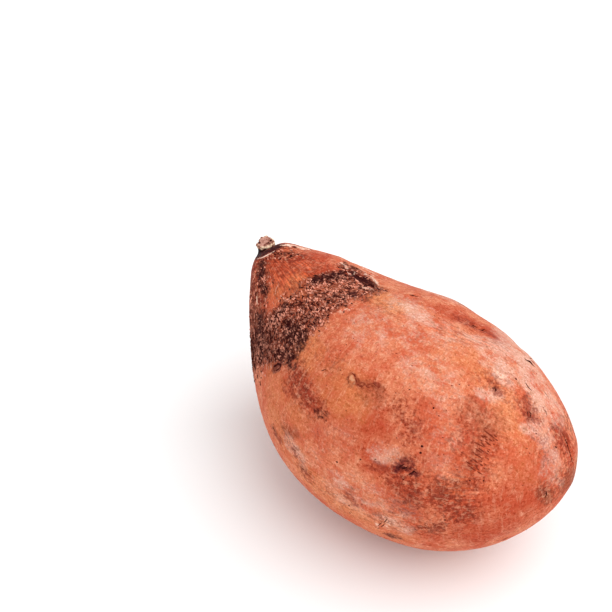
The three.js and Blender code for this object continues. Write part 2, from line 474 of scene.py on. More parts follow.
# Dark open cracks in the skin, each with a half width in millimetres and a run of pixels.
CRACKS = [
    (0.4, (292.4, 246.4), (294.6, 247.4), (297.2, 248.2)),
    (0.5, (369, 284), (373, 286.2), (376.6, 287.6)),
    (0.44, (378.4, 287.6), (381, 288.4), (383.2, 289)),
    (0.4, (384.2, 290), (386.4, 290.4)),
    (0.3, (355, 274), (360, 278), (366, 281.5)),
    (0.25, (357, 279.5), (363, 283), (370, 286)),
    (0.4, (409, 294.5), (413, 295.5), (418, 297)),
    (0.4, (471, 325), (474, 326), (477, 328)),
    (0.3, (479, 329.5), (482, 330.5), (485, 329)),
    (0.5, (524, 358), (527, 360.5), (530, 361.5), (532.5, 365), (535, 367)),
    (0.28, (530.5, 360), (533.5, 362), (535, 364.5)),
    (0.18, (529, 357.8), (532, 359)),
    (0.28, (525, 382), (528, 387), (532, 391)),
    (0.14, (542, 389), (546, 394), (549, 399)),
    (0.14, (543, 408), (546, 412), (547, 416)),
    (0.15, (321, 371), (324, 370), (327, 368.5)),
    (0.18, (378, 526), (380, 524), (382, 522.5)),
    (0.2, (381, 527), (383, 525.5), (385, 523.5)),
    (0.2, (384, 522.5), (385.5, 521), (387, 519)),
    (0.15, (377, 528.5), (380, 528)),
    (0.15, (388, 521.5), (391, 521)),
    (0.3, (500, 541), (504, 539.5), (508, 537)),
    (0.26, (408.6, 474.8), (410.4, 473.6), (412.6, 472.6), (414, 471), (415.4, 472.4), (417.4, 473.8)),
    (0.3, (398, 468.2), (401, 466), (404, 464.4)),
    (0.3, (401, 469.4), (405, 468), (408.6, 466.4)),
    (0.26, (405, 462.4), (408, 461), (410, 460.6)),
    (0.24, (402.6, 480.4), (404.6, 478.6)),
    (0.28, (546, 491), (546.5, 494), (545, 498)),
    (0.22, (563, 434), (567, 444), (570, 454), (572.5, 463)),
    (0.25, (494, 387), (496, 390), (495, 392)),
    (0.22, (529, 411), (531, 414), (530, 418)),
    (0.4, *EYE_RIM),
]

# Brown furrows round the knob and along its groove, given in the same way.
FURROWS = [
    (0.18, (348.8, 384), (348, 379), (349.5, 374.5)),
    (0.3, (351.5, 372.6), (354.5, 375), (356, 380), (357.5, 384.5)),
    (0.42, (357, 383.5), (360, 386), (364, 386)),
    (0.24, (365.5, 384.5), (367, 387), (369.5, 388)),
    (0.22, (370.5, 383.5), (374, 383.8), (377.5, 387)),
]

# Thin torn edges of skin that stand up pale, given in the same way.
PEELS = [
    (0.3, (257, 259), (262, 257.8), (267, 255.5), (271, 253.3), (275, 250.8)),
    (0.45, (282, 245.8), (286, 245.2), (291, 245.6), (296, 245.6)),
    (0.4, (289, 246.8), (291.5, 247)),
    (0.5, (296, 246.8), (299, 247.6), (303, 248.2)),
    (0.45, (299, 249), (302, 249.4), (306, 249.8)),
    (0.3, (306, 248.6), (311, 250.6)),
    (0.18, (342, 263.5), (345, 265.5), (348, 269)),
    (0.16, (347, 271.5), (349.5, 275)),
    (0.34, (363, 274.4), (365, 274.4), (368, 275.4)),
    (0.26, (371, 274.8), (374.5, 276)),
    (0.34, (371.5, 278.5), (374.5, 280), (376.5, 283), (379, 285.5)),
    (0.16, (352, 262.5), (358, 265), (364, 268)),
    (0.12, (366, 270), (370, 272), (374, 274)),
    (0.16, (362, 287), (365, 287.8), (367, 287.8)),
    (0.26, (370, 288.6), (374, 290)),
    (0.07, (285.5, 301), (289.5, 298.4), (293.8, 295.2)),
    (0.06, (279, 283), (276, 289), (275, 294)),
]

# Band of short dashes across the root: its middle line and the way that a dash lies, in pixels, the
# rows, columns and step of the places, and the share of them that have a dash. Then how far chance
# moves and turns a dash, how far it reaches, its half width in millimetres and its parts.
DASH_BAND = ((492, 432), (473, 471))
DASH_WAY = (0.83, 0.56)
DASH_ROWS = 15
DASH_COLUMNS = 3
DASH_STEP = 6.6
DASH_SHARE = 0.88
DASH_SEED = 4
DASH_ROW_CHANCE = 0.7
DASH_TURN = 0.08
DASH_REACH = (1.2, 4.2)
DASH_HALF_WIDTH = (0.18, 0.32)
DASH_PARTS = 3

# Small round pits, each with a half width in millimetres and a pixel.
PITS = [
    (0.45, (293.5, 247)),
    (0.5, (295.6, 247.8)),
    (0.5, (259.2, 242.8)),
    (0.5, (270.8, 240.8)),
    (0.4, (275, 257)),
    (0.45, (280, 259)),
    (0.5, (291, 255.5)),
    (0.42, (422, 446.3)),
    (0.38, (420.6, 452.8)),
    (0.3, (433.5, 408)),
    (0.35, (516, 379)),
    (0.35, (556, 447.3)),
    (0.35, (337, 462)),
    (0.35, (349, 505.5)),
    (0.3, (350, 513)),
    (0.25, (470, 480.6)),
    (0.25, (483.6, 480.6)),
    (0.3, (445, 520)),
    (0.3, (360.5, 459.5)),
    (0.35, (303, 469)),
]

# Hollows and lumps that follow the marks, each with a half width, a soft edge and a lift in millimetres.
PHOTO_RELIEF = [
    (1, 1, -0.8, (355, 275), (363, 280), (371, 285)),
    (0.3, 1, -0.4, (371, 285), (389, 291)),
    (0.3, 0.9, 0.35, (353, 267), (362, 272), (377, 283)),
    (0.3, 0.9, 0.3, (351, 278), (358, 284), (370, 289)),
    (0.5, 1.8, -0.5, (357, 383), (368, 385), (379, 388)),
    (0.5, 1.2, 0.7, (351, 376), (353, 382)),
    (0.2, 1.2, -0.3, (526, 359), (534, 366)),
    (0.2, 1.2, -0.3, (526, 383), (531, 391)),
    (0.4, 1.6, -0.5, (495, 390)),
    (0.4, 1.8, -0.6, (530, 414)),
    (0.4, 1.8, -0.5, (472, 325), (485, 330)),
    (0.8, 2, -0.4, (400, 468), (414, 464)),
    (0.3, 1.8, -0.6, (563, 434), (568, 446), (572, 466)),
    (0.3, 1.2, -0.5, (276, 367)),
    (0.4, 1.4, -0.5, (547, 494)),
    (0.4, 1, 0.3, (283, 246), (295, 247), (307, 249)),
]


def linear(red, green, blue):
    """A screen colour from 0 to 255 as the shader's numbers."""
    parts = [c / 255 for c in (red, green, blue)]
    return [c / 12.92 if c <= 0.04045 else ((c + 0.055) / 1.055) ** 2.4 for c in parts] + [1.0]


SALMON = linear(208, 120, 86)
TERRACOTTA = linear(194, 91, 61)
FLUSH = linear(225, 157, 124)
BRICK = linear(168, 56, 32)
RUSSET = linear(190, 86, 64)
STAIN = linear(124, 45, 29)
SCURF_DARK = linear(44, 12, 12)
SCURF_TAN = linear(190, 104, 78)
STAIN_DARK = linear(98, 36, 26)
EMBER = linear(240, 108, 62)
# Dark brown of the painted shade over the scurf.
SHADE_BROWN = linear(62, 18, 12)
STUB_CREAM = linear(234, 204, 174)
STUB_PINK = linear(198, 146, 130)
STUB_BROWN = linear(132, 78, 64)
# Black of the pits in the cut face, and of the painted shadow on the collar under the stub.
STUB_PIT_AND_SHADE_BLACK = linear(30, 12, 10)

# What each patch is made of, from the lowest to the topmost: colour, size of its breaks in
# millimetres, how ragged it is, the softness of its edge and how well it covers. The scurf lies
# between the lower and the top patches, and has its colours in layers of its own.
PATCH_LOOKS = [
    ("brick", BRICK, 7.0, 1.6, 0.5, 0.7),
    ("amber", linear(220, 137, 86), 7.0, 1.6, 0.5, 0.55),
    # Pale pink skin, and on the upper right shoulder a painted highlight of sheen.
    ("blush_and_sheen", linear(220, 174, 154), 4.0, 2.6, 0.5, 0.68),
    # Umber-brown marks, and painted shade along the left edge.
    ("umber_and_shade", linear(116, 58, 40), 4.0, 1.6, 0.5, 0.65),
    # Rust-red marks, and painted shade along the left edge.
    ("rust_and_shade", linear(132, 46, 32), 2.0, 3.4, 0.5, 0.72),
]
SCURF_LOOK = ("scurf", 4.0, 2.0, 0.4)
TOP_LOOKS = [
    # Plum-dark marks, and the painted shadow in the groove under the stub.
    ("plum_and_shade", linear(80, 28, 32), 1.4, 3.0, 0.7, 0.8),
    # Soot-dark marks, and painted shade in the groove under the stub and along the left edge.
    ("soot_and_shade", linear(46, 15, 18), 1.8, 2.8, 0.5, 0.88),
    ("pale", linear(242, 196, 172), 1.6, 2.6, 0.3, 0.8),
    ("cork", linear(198, 142, 108), 1.2, 1.2, 0.3, 0.9),
]

# Detail and roughness of the breaks, the share of grit in them, the value at the edge of a patch, and
# the values between which it may begin.
BREAKS = (5, 0.65)
GRIT_SHARE = 0.7
PATCH_EDGE = 0.5
PATCH_LIMITS = (0.02, 0.3)

# Ways in which the patterns are drawn out: the coordinates, and their scale along and across the root.
STRETCHES = {
    "along": ("fan", (0.16, 1.0, 1.0)),
    "around": ("straight", (1.0, 0.15, 0.15)),
    "lengthy": ("straight", (0.6, 1.0, 1.0)),
    "drawn": ("straight", (0.4, 1.0, 1.0)),
}

# Cloudy patterns of the skin: the way each is drawn out, the size of its features in millimetres,
# its detail and its roughness. Then the middle of their values.
CLOUDS = {
    "ground": ("even", 9.0, 5, 0.65),
    "flush": ("even", 3.2, 4, 0.65),
    "russet": ("even", 2.4, 4, 0.7),
    "streak": ("along", 0.7, 3, 0.6),
    "ring": ("around", 1.0, 3, 0.6),
    "grit": ("even", 1.0, 3, 0.7),
    "wear": ("even", 1.5, 4, 0.7),
    "bared": ("lengthy", 1.2, 3, 0.7),
    "blotch": ("even", 2.2, 5, 0.7),
    "crumb": ("drawn", 0.8, 3, 0.75),
    "lump": ("even", 1.4, 3, 0.6),
    "collar": ("even", 1.6, 4, 0.7),
}
CLOUD_MIDDLE = 0.5

# Values at which the crumbs of the scurf and the painted shadow on the collar under the stub begin to show
# and show in full.
CRUMB_LIMITS = (0.5, 0.57)
COLLAR_SHADE_LIMITS = (0.3, 0.75)

# Layers of colour from the lowest up: the colour, its pattern, the values at which that begins to
# show and shows in full, the mask that bounds it and how well it covers. A plain pattern and a mask
# of all are full everywhere.
GROUND_LAYERS = [
    (SALMON, "ground", 0.37, 0.63, "all", 1.0),
    (FLUSH, "flush", 0.5, 0.68, "all", 0.52),
    (RUSSET, "russet", 0.52, 0.7, "all", 0.64),
]
STREAK_LAYERS = [
    (BRICK, "streak", 0.52, 0.7, "all", 0.3),
    (FLUSH, "ring", 0.54, 0.7, "all", 0.25),
    (STAIN, "streak", 0.48, 0.59, "ribbed", 0.75),
    (EMBER, "streak", 0.48, 0.38, "ribbed", 0.6),
]
WORN_LAYERS = [
    (STAIN_DARK, "wear", 0.49, 0.58, "weather", 0.75),
    (FLUSH, "bared", 0.54, 0.62, "weather", 0.45),
]
SCURF_LAYERS = [
    (STAIN, "plain", 0, 1, "scurf", 0.75),
    (SCURF_DARK, "blotch", 0.4, 0.56, "scurf", 0.9),
    (SCURF_TAN, "crumb", *CRUMB_LIMITS, "scurf", 0.85),
    # Painted shade over the scurf.
    (SHADE_BROWN, "plain", 0, 1, "painted_shade", 0.6),
]
STUB_LAYERS = [(STUB_CREAM, "lump", 0.42, 0.58, "all", 1.0)]
FACE_LAYERS = [
    (STUB_PINK, "lump", 0.4, 0.62, "all", 1.0),
    (STUB_PIT_AND_SHADE_BLACK, "lump", 0.42, 0.34, "all", 1.0),
]
# Brown lumps in the painted shadow on the collar.
COLLAR_SHADE_LAYERS = [(STUB_BROWN, "lump", 0.54, 0.74, "all", 1.0)]

# Grain: the size, detail and roughness of its dark and its light flecks, the values at which they
# begin and are full, and the colour that they multiply by. Then how much of it each finish has.
GRAIN_FLECKS = [
    ((1.0, 3, 0.7), (0.51, 0.66), (0.58, 0.38, 0.22, 1)),
    ((0.7, 2, 0.7), (0.5, 0.64), (1.3, 1.7, 2.0, 1)),
]
SKIN_GRAIN = 0.66
PIECE_GRAIN = 0.4

# Bumps: the strength of all, the depth in millimetres, and the shares of what the skin's are made of.
BUMP_STRENGTH = 0.6
SKIN_BUMP = 0.3
PIECE_BUMP = 0.1
HEIGHTS = {"grain": 0.35, "streak": 0.4, "ring": 0.3, "crumbs": 0.8}

# Shine of the skin and the pieces. Scurf and streaks change the roughness of the skin.
SKIN_SPECULAR = 0.02
PIECE_SPECULAR = 0.01
SKIN_ROUGHNESS = 0.5
SCURF_ROUGHNESS = 0.25
STREAK_ROUGHNESS = 0.3

# Finishes of the small pieces: the light and the dark tone, and the roughness.
FINISHES = {
    "scurf_crumb": (linear(226, 148, 124), linear(52, 13, 12), 0.8),
    "dark_speck": (linear(140, 56, 40), linear(84, 34, 30), 0.7),
    "open_crack": (linear(70, 22, 18), linear(44, 12, 12), 0.8),
    "brown_dash": (linear(138, 58, 38), linear(96, 35, 24), 0.8),
    "dark_pit": (linear(76, 26, 22), linear(42, 13, 13), 0.8),
    "torn_skin": (linear(250, 218, 198), linear(204, 144, 122), 0.7),
    "stub_rim": (STUB_CREAM, linear(196, 146, 116), 0.8),
}


def add_object(name, data):
    made = bpy.data.objects.new(name, data)
    bpy.context.scene.collection.objects.link(made)
    return made


# View and places on the skin.
class PhotoView:
    """The camera of the photograph, and the rays through its pixels."""

    def __init__(self):
        self.back = Vector((
            math.sin(AZIMUTH) * math.cos(ELEVATION),
            -math.cos(AZIMUTH) * math.cos(ELEVATION),
            math.sin(ELEVATION),
        ))
        self.right = Vector((math.cos(AZIMUTH), math.sin(AZIMUTH), 0))
        self.up = self.back.cross(self.right)
        self.depth = LENS / SENSOR * PICTURE_SIDE * PIXEL
        self.eye = LOOK_AT - self.ray(*LOOK_PIXEL)

    def ray(self, x, y):
        """From the eye to the depth of the point looked at."""
        across = (x - PICTURE_SIDE / 2) * PIXEL
        above = (PICTURE_SIDE / 2 - y) * PIXEL
        return self.right * across + self.up * above - self.back * self.depth

    def add_camera(self):
        data = bpy.data.cameras.new("photo_camera")
        data.lens = LENS
        data.sensor_width = SENSOR
        data.clip_start = NEAREST_SEEN
        camera = add_object("photo_camera", data)
        turn = Matrix((self.right, self.up, self.back)).transposed().to_4x4()
        camera.matrix_world = Matrix.Translation(self.eye) @ turn
        bpy.context.scene.camera = camera


class RootLine:
    """The bent middle line of the root, and places given along it and round it."""

    def __init__(self):
        a, b, c, d = (np.array(p) for p in SPINE)
        t = np.linspace(0, 1, SPINE_STEPS + 1)[:, None]
        self.points = (1 - t) ** 3 * a + 3 * (1 - t) ** 2 * t * b + 3 * (1 - t) * t**2 * c + t**3 * d
        steps = np.linalg.norm(np.diff(self.points, axis=0), axis=1)
        self.stations = np.concatenate([[0], np.cumsum(steps)])
        tangents = np.gradient(self.points, self.stations, axis=0)
        self.tangents = tangents / np.linalg.norm(tangents, axis=1)[:, None]
        sides = np.array([0, 1, 0]) - self.tangents[:, 1:2] * self.tangents
        self.sides = sides / np.linalg.norm(sides, axis=1)[:, None]
        self.downs = np.cross(self.sides, self.tangents)

    def straighten(self, points):
        """Where the points would be if the root were straight along X, and also as thick all along,
        and the way along the root at each."""
        nearest = np.array([np.argmin(((self.points - p) ** 2).sum(1)) for p in points])
        away = points - self.points[nearest]
        along = self.stations[nearest] + (away * self.tangents[nearest]).sum(1)
        side = (away * self.sides[nearest]).sum(1)
        down = (away * self.downs[nearest]).sum(1)
        thin = FAN_RADIUS / np.maximum(np.hypot(side, down), FAN_THINNEST)
        straight = np.stack([along, side, down], axis=1)
        fan = np.stack([along, side * thin, down * thin], axis=1)
        return {"straight": straight, "fan": fan, "lengthwise": self.tangents[nearest]}

    def spoke(self, station, angle):
        """A point on the line and the way out from it at an angle from the belly."""
        i = int(np.argmin(np.abs(self.stations - station * MM)))
        turn = math.radians(angle)
        way = self.sides[i] * math.sin(turn) + self.downs[i] * math.cos(turn)
        return Vector(self.points[i]), Vector(way)


def inside(values, limit, soft):
    """Zero from the limit on, and one from the width of a soft edge below it."""
    return np.clip((limit - values) / soft, 0, 1)


class Skin:
    """The fine skin as arrays of points and normals, with the marks that lie on it."""

    def __init__(self, view):
        self.view = view
        self.line = RootLine()
        self.stub_lean = self.lean_of_stub()
        self.mesh = fine_copy()
        noise.seed_set(SWAY_SEED)
        self.read()

    def lean_of_stub(self):
        """How the top of the vine stub tilts towards the camera and spreads, about its cut face."""
        out = (CUT_FACE - SPINE[0]).normalized()
        tilt = Matrix.Rotation(STUB_TILT, 4, out.cross(self.view.back))
        moved = Matrix.Translation(CUT_FACE + self.view.right * STUB_LEAN)
        return moved @ tilt @ Matrix.Scale(STUB_SPREAD, 4) @ Matrix.Translation(-CUT_FACE)

    def read(self):
        """Takes the points and the faces from the mesh as it is now."""
        self.points = self.vectors("co")
        self.normals = self.vectors("normal")
        corners = [Vector(p) for p in self.points]
        faces = [tuple(face.vertices) for face in self.mesh.polygons]
        self.tree = BVHTree.FromPolygons(corners, faces)
        self.sway = np.zeros(self.points.shape)
        for size, reach in SWAYS:
            self.sway += reach * MM * np.array([noise.noise_vector(p / (size * MM)) for p in corners])

    def vectors(self, name):
        values = np.zeros(len(self.mesh.vertices) * 3)
        self.mesh.vertices.foreach_get(name, values)
        return values.reshape(-1, 3)

    def at_pixel(self, pixel):
        """The point of the skin at a pixel, or the nearest to it beside the root, and its normal."""
        ray = self.view.ray(*pixel)
        hit = self.tree.ray_cast(self.view.eye, ray.normalized())
        if hit[0] is None:
            hit = self.tree.find_nearest(self.view.eye + ray)
        return hit[0], hit[1]

    def point_at(self, pixel):
        return self.at_pixel(pixel)[0]

    def at_root(self, place):
        """The point of the skin at a station along the root and an angle round it."""
        start, way = self.line.spoke(*place)
        return self.tree.ray_cast(start, way)[0] or self.tree.find_nearest(start)[0]

    def mask(self, points, run, half_width, soft):
        """One on the run and its half width, fading to zero over the soft edge."""
        away = np.full(len(points), np.inf)
        ends = run if len(run) > 1 else run * 2
        for a, b in zip(ends[:-1], ends[1:]):
            a, b = np.array(a), np.array(b)
            length = max(((b - a) ** 2).sum(), MERGE_REACH**2)
            share = np.clip((points - a) @ (b - a) / length, 0, 1)
            away = np.minimum(away, np.linalg.norm(points - a - share[:, None] * (b - a), axis=1))
        fade = np.clip((away / MM - half_width) / soft, 0, 1)
        return 1 - fade * fade * (3 - 2 * fade)

    def patch_values(self, name):
        """How strongly each point of the skin carries a patch."""
        values = np.zeros(len(self.points))
        rows = [(self.point_at, row) for row in PHOTO_PATCHES[name]]
        rows += [(self.at_root, row) for row in HIDDEN_PATCHES[name]]
        for find, (half_width, soft, strength, *places) in rows:
            swayed = self.points + self.sway * min(1, (half_width + soft) / FULL_SWAY_WIDTH)
            run = [find(place) for place in places]
            mask = self.mask(swayed, run, CORE_SHARE * half_width, half_width + EDGE_SHARE * soft)
            values = np.maximum(values, strength * mask)
        return values

    def stub_values(self):
        """One on the vine stub above its waist, on its cut face and on the collar under it, which carries
        the stub's painted shadow.
        """
        axis = np.array((SPINE[0] - CUT_FACE).normalized())
        away = self.points - np.array(CUT_FACE)
        down = away @ axis / MM
        aside = np.linalg.norm(away - np.outer(away @ axis, axis), axis=1) / MM
        near = inside(aside, *STUB_REACH)
        return {
            "stub_top": inside(down, *STUB_WAIST) * near,
            "stub_face": inside(down, *FACE_DEPTH) * inside(aside, *FACE_RADIUS),
            "stub_collar_shade": (1 - inside(down, *COLLAR_TOP)) * inside(down, *COLLAR_FOOT) * near,
        }

    def relief(self):
        """How far the skin stands out, in metres."""
        height = np.zeros(len(self.points))
        for half_width, soft, lift, *pixels in PHOTO_RELIEF:
            run = [self.point_at(pixel) for pixel in pixels]
            height += lift * self.mask(self.points, run, half_width, soft)
        stub = self.stub_values()
        spots = [Vector(p) / MM for p in self.points]
        rough = np.array([noise.fractal(p * STUB_LUMPS, *STUB_FRACTAL) for p in spots])
        height += STUB_ROUGHNESS * stub["stub_top"] * rough
        height -= FACE_SINK * stub["stub_face"] + COLLAR_SINK * stub["stub_collar_shade"]
        height += SKIN_WAVE * np.array([noise.noise(p * SKIN_WAVE_LUMPS) for p in spots])
        height[self.points[:, 2] < FLAT_SPOT] = 0
        return height * MM


def plain_mesh(piece):
    """What a piece looks like with its modifiers, as a mesh of its own."""
    shown = piece.evaluated_get(bpy.context.evaluated_depsgraph_get())
    return bpy.data.meshes.new_from_object(shown)


def fine_copy():
    """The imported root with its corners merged, made of quads and rounded."""
    shape = bmesh.new()
    shape.from_mesh(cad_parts[NODE].data)
    bmesh.ops.remove_doubles(shape, verts=shape.verts, dist=MERGE_REACH)
    bmesh.ops.join_triangles(
        shape,
        faces=shape.faces,
        angle_face_threshold=FLAT_ANGLE,
        angle_shape_threshold=SQUARE_ANGLE,
    )
    coarse = bpy.data.meshes.new("coarse_skin")
    shape.to_mesh(coarse)
    shape.free()
    piece = add_object("coarse_skin", coarse)
    rounding = piece.modifiers.new("rounding", "SUBSURF")
    rounding.levels = SKIN_LEVELS
    rounding.render_levels = SKIN_LEVELS
    mesh = plain_mesh(piece)
    bpy.data.objects.remove(piece)
    return mesh


# Materials.
class Wires:
    """Short words for the nodes of one tree."""

    def __init__(self, tree):
        self.tree = tree

    def node(self, kind, settings=None, **inputs):
        made = self.tree.nodes.new(kind)
        for name, value in (settings or {}).items():
            setattr(made, name, value)
        for name, value in inputs.items():
            self.put(made.inputs[name.replace("_", " ")], value)
        return made

    def out(self, kind, settings=None, **inputs):
        """The first output of a new node."""
        return self.node(kind, settings, **inputs).outputs[0]

    def put(self, socket, value):
        if isinstance(value, bpy.types.NodeSocket):
            self.tree.links.new(value, socket)
        else:
            socket.default_value = value

    def attribute(self, name, output="Fac"):
        """What the skin carries by a name, in a material."""
        return self.node("ShaderNodeAttribute", {"attribute_name": name}).outputs[output]

    def named(self, name, kind="FLOAT"):
        """What a mesh carries by a name, in Geometry Nodes."""
        return self.out("GeometryNodeInputNamedAttribute", {"data_type": kind}, Name=name)

    def noise(self, vector, size, detail=2.0, roughness=0.5):
        """Cloudy values whose features have a size in millimetres."""
        sizes = {"Scale": 1 / (size * MM), "Detail": detail, "Roughness": roughness}
        return self.out("ShaderNodeTexNoise", Vector=vector, **sizes)

    def band(self, value, low, high):
        """Zero at low, one at high, smooth between."""
        smooth = {"interpolation_type": "SMOOTHSTEP"}
        return self.out("ShaderNodeMapRange", smooth, Value=value, From_Min=low, From_Max=high)

    def math(self, operation, a, b, kind="ShaderNodeMath"):
        made = self.node(kind, {"operation": operation})
        self.put(made.inputs[0], a)
        self.put(made.inputs[1], b)
        return made.outputs[0]

    def times(self, a, b):
        return self.math("MULTIPLY", a, b)

    def plus(self, a, b):
        return self.math("ADD", a, b)

    def minus(self, a, b):
        return self.math("SUBTRACT", a, b)

    def centred(self, cloud):
        return self.minus(cloud, CLOUD_MIDDLE)

    def mix(self, factor, under, over, blend="MIX"):
        """One colour over another. The node has sockets of one name, so they go by number."""
        made = self.node("ShaderNodeMix", {"data_type": "RGBA", "blend_type": blend})
        self.put(made.inputs[0], factor)
        self.put(made.inputs[6], under)
        self.put(made.inputs[7], over)
        return made.outputs[2]


def new_tree(name, kind, inputs, outputs):
    """A node group with named inputs and outputs of the kinds given."""
    tree = bpy.data.node_groups.new(name, kind)
    for way, sockets in (("INPUT", inputs), ("OUTPUT", outputs)):
        for label, socket in sockets.items():
            tree.interface.new_socket(label, in_out=way, socket_type="NodeSocket" + socket)
    return tree


def grain_group():
    """Fine light and dark grain that any finish of the root can carry."""
    inputs = {"Colour": "Color", "Amount": "Float"}
    tree = new_tree("root_grain", "ShaderNodeTree", inputs, {"Colour": "Color", "Height": "Float"})
    w = Wires(tree)
    given = w.node("NodeGroupInput").outputs
    place = w.node("ShaderNodeTexCoord").outputs["Object"]
    colour = given["Colour"]
    height = 0
    for cloud, limits, tint in GRAIN_FLECKS:
        fleck = w.noise(place, *cloud)
        colour = w.mix(w.times(w.band(fleck, *limits), given["Amount"]), colour, tint, "MULTIPLY")
        height = w.plus(height, fleck)
    w.node("NodeGroupOutput", Colour=colour, Height=height)
    return tree


def new_material(name):
    material = bpy.data.materials.new(name)
    material.use_nodes = True
    material.node_tree.nodes.clear()
    return material, Wires(material.node_tree)


def grainy(w, colour, amount):
    made = w.node("ShaderNodeGroup", {"node_tree": GRAIN}, Colour=colour, Amount=amount)
    return made.outputs["Colour"], made.outputs["Height"]


def finish_material(w, colour, roughness, height, depth, specular):
    bump = w.out("ShaderNodeBump", Strength=BUMP_STRENGTH, Distance=depth * MM, Height=height)
    shader = w.out(
        "ShaderNodeBsdfPrincipled",
        Base_Color=colour,
        Roughness=roughness,
        Specular_IOR_Level=specular,
        Normal=bump,
    )
    w.node("ShaderNodeOutputMaterial", Surface=shader)


def skin_material():
    material, w = new_material("root_skin")
    ways = {"even": w.node("ShaderNodeTexCoord").outputs["Object"]}
    for name, (source, scale) in STRETCHES.items():
        ways[name] = w.out("ShaderNodeMapping", Vector=w.attribute(source, "Vector"), Scale=scale)
    clouds = {name: w.noise(ways[way], *sizes) for name, (way, *sizes) in CLOUDS.items()}
    clouds["plain"] = 1.0

    def torn(name, size, ragged, soft):
        """The mask of a patch whose edge breaks up into grit."""
        value = w.attribute(name)
        breaks = w.centred(w.noise(ways["lengthy"], size, *BREAKS))
        grit = w.times(w.centred(clouds["grit"]), GRIT_SHARE)
        moved = w.plus(value, w.times(w.plus(breaks, grit), ragged))
        edge = w.band(moved, PATCH_EDGE - soft, PATCH_EDGE + soft)
        return w.times(edge, w.band(value, *PATCH_LIMITS))

    scurf = torn(*SCURF_LOOK)
    masks = {"all": 1.0, "scurf": scurf}
    for name in ("ribbed", "weather", "painted_shade"):
        masks[name] = w.attribute(name)

    def layered(colour, layers):
        for tint, cloud, low, high, mask, cover in layers:
            share = w.times(w.times(w.band(clouds[cloud], low, high), masks[mask]), cover)
            colour = w.mix(share, colour, tint)
        return colour

    def patched(colour, looks):
        for name, tint, size, ragged, soft, cover in looks:
            colour = w.mix(w.times(torn(name, size, ragged, soft), cover), colour, tint)
        return colour

    colour = layered(TERRACOTTA, GROUND_LAYERS)
    colour = patched(colour, PATCH_LOOKS)
    colour = layered(colour, STREAK_LAYERS)
    colour, grain = grainy(w, colour, SKIN_GRAIN)
    colour = layered(colour, WORN_LAYERS)
    colour = layered(colour, SCURF_LAYERS)
    colour = w.mix(w.attribute("stub_top"), colour, layered(STUB_BROWN, STUB_LAYERS))
    colour = w.mix(w.attribute("stub_face"), colour, layered(STUB_BROWN, FACE_LAYERS))
    # Painted shadow: the collar under the stub goes black.
    collar = w.plus(w.attribute("stub_collar_shade"), w.centred(clouds["collar"]))
    colour = w.mix(w.band(collar, *COLLAR_SHADE_LIMITS), colour, layered(STUB_PIT_AND_SHADE_BLACK, COLLAR_SHADE_LAYERS))
    colour = patched(colour, TOP_LOOKS)

    crumbs = w.times(w.band(clouds["crumb"], *CRUMB_LIMITS), scurf)
    bumps = {**clouds, "grain": grain, "crumbs": crumbs}
    height = 0
    for name, share in HEIGHTS.items():
        height = w.plus(height, w.times(bumps[name], share))
    roughness = w.plus(SKIN_ROUGHNESS, w.times(scurf, SCURF_ROUGHNESS))
    roughness = w.plus(roughness, w.times(w.centred(clouds["streak"]), STREAK_ROUGHNESS))
    finish_material(w, colour, roughness, height, SKIN_BUMP, SKIN_SPECULAR)
    return material


def piece_finish(name):
    """A finish that changes from piece to piece by the tone that each carries."""
    light, dark, roughness = FINISHES[name]
    material, w = new_material(name)
    colour, height = grainy(w, w.mix(w.attribute("tone"), dark, light), PIECE_GRAIN)
    finish_material(w, colour, roughness, height, PIECE_BUMP, PIECE_SPECULAR)
    return material


# Small pieces on the skin, made by Geometry Nodes.
def geometry_tree(name, sizes):
    """A tree with a mesh in and out, and named inputs for its sizes, seed and material."""
    kinds = {int: "Int", float: "Float"}
    inputs = {label: kinds[type(value)] for label, value in sizes.items()}
    inputs = {"Skin": "Geometry", **inputs, "Finish": "Material"}
    tree = new_tree(name, "GeometryNodeTree", inputs, {"Pieces": "Geometry"})
    w = Wires(tree)
    return tree, w, w.node("NodeGroupInput").outputs


def close_tree(w, instances, material):
    """Makes real pieces of the instances and gives them their finish."""
    real = w.out("GeometryNodeRealizeInstances", Geometry=instances)
    done = w.out("GeometryNodeSetMaterial", Geometry=real, Material=material)
    w.node("NodeGroupOutput", Pieces=done)


def random_value(w, low, high, seed, number):
    """A value by chance for each point, by the number of its draw. The float sockets go by number."""
    made = w.node("FunctionNodeRandomValue", {"data_type": "FLOAT"}, Seed=w.plus(seed, number))
    w.put(made.inputs[2], low)
    w.put(made.inputs[3], high)
    return made.outputs[1]


